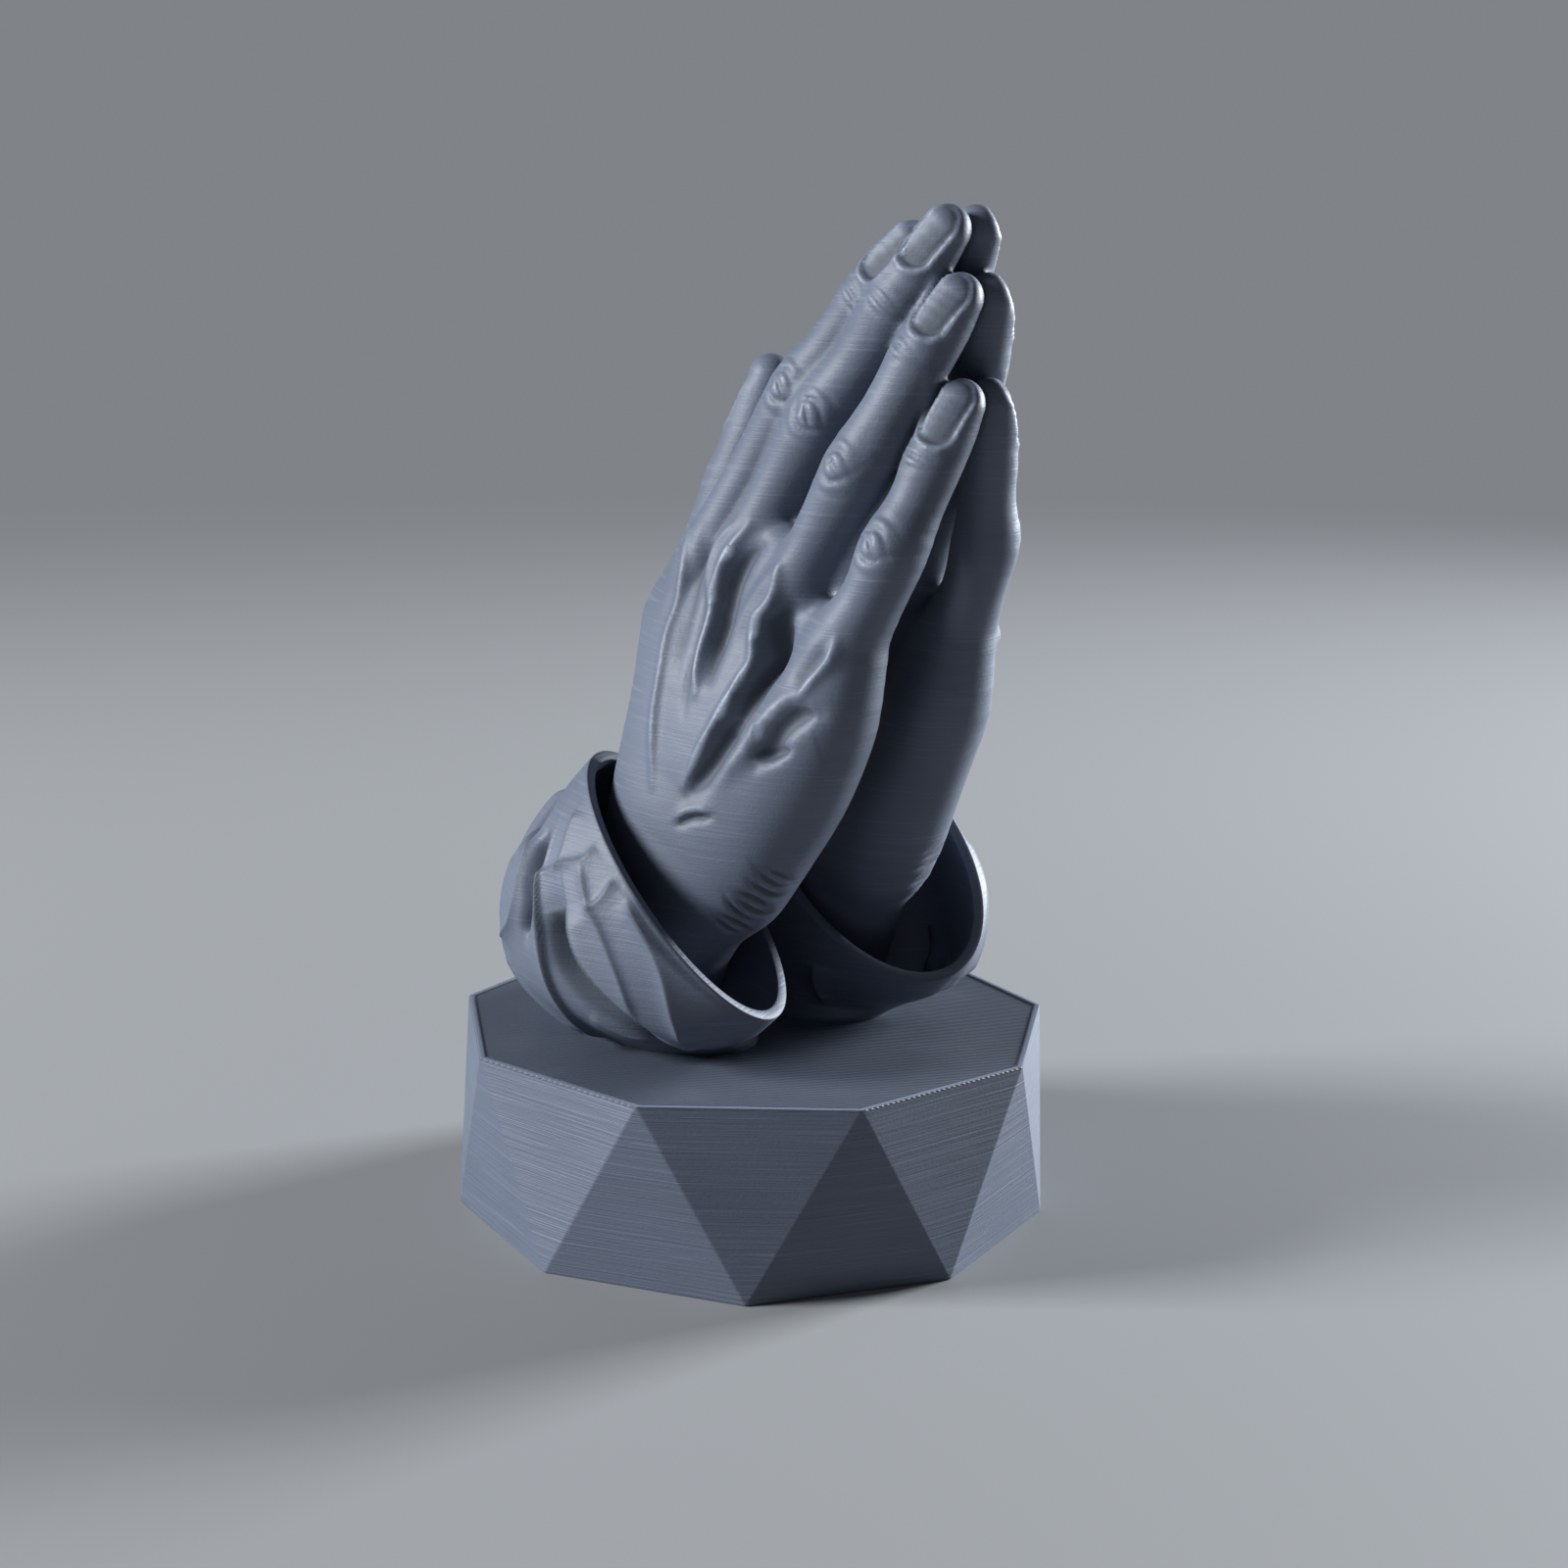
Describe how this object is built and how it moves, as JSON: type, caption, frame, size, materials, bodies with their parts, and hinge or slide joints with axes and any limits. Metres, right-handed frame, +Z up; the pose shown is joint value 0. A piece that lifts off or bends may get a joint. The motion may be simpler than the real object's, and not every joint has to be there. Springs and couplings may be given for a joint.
{
  "type": "praying hands statue",
  "caption": "Small statue of two hands joined in prayer, rising from wide folded sleeve cuffs on a faceted nine-sided plinth.",
  "frame": {"origin": "centre of the plinth's underside", "axes": "+Z up along the plinth's axis; the palms meet on the plane X = 0; the fingers lean towards -Y and the thumbs are on the +Y side; the right hand is on the -X side"},
  "size_m": [0.0744, 0.0775, 0.1246],
  "materials": {
    "matte_slate_print": "matte slate-grey printed plastic with fine level layer lines"
  },
  "bodies": {
    "root": {"praying_hands_statue": "matte_slate_print"}
  },
  "joints": []
}
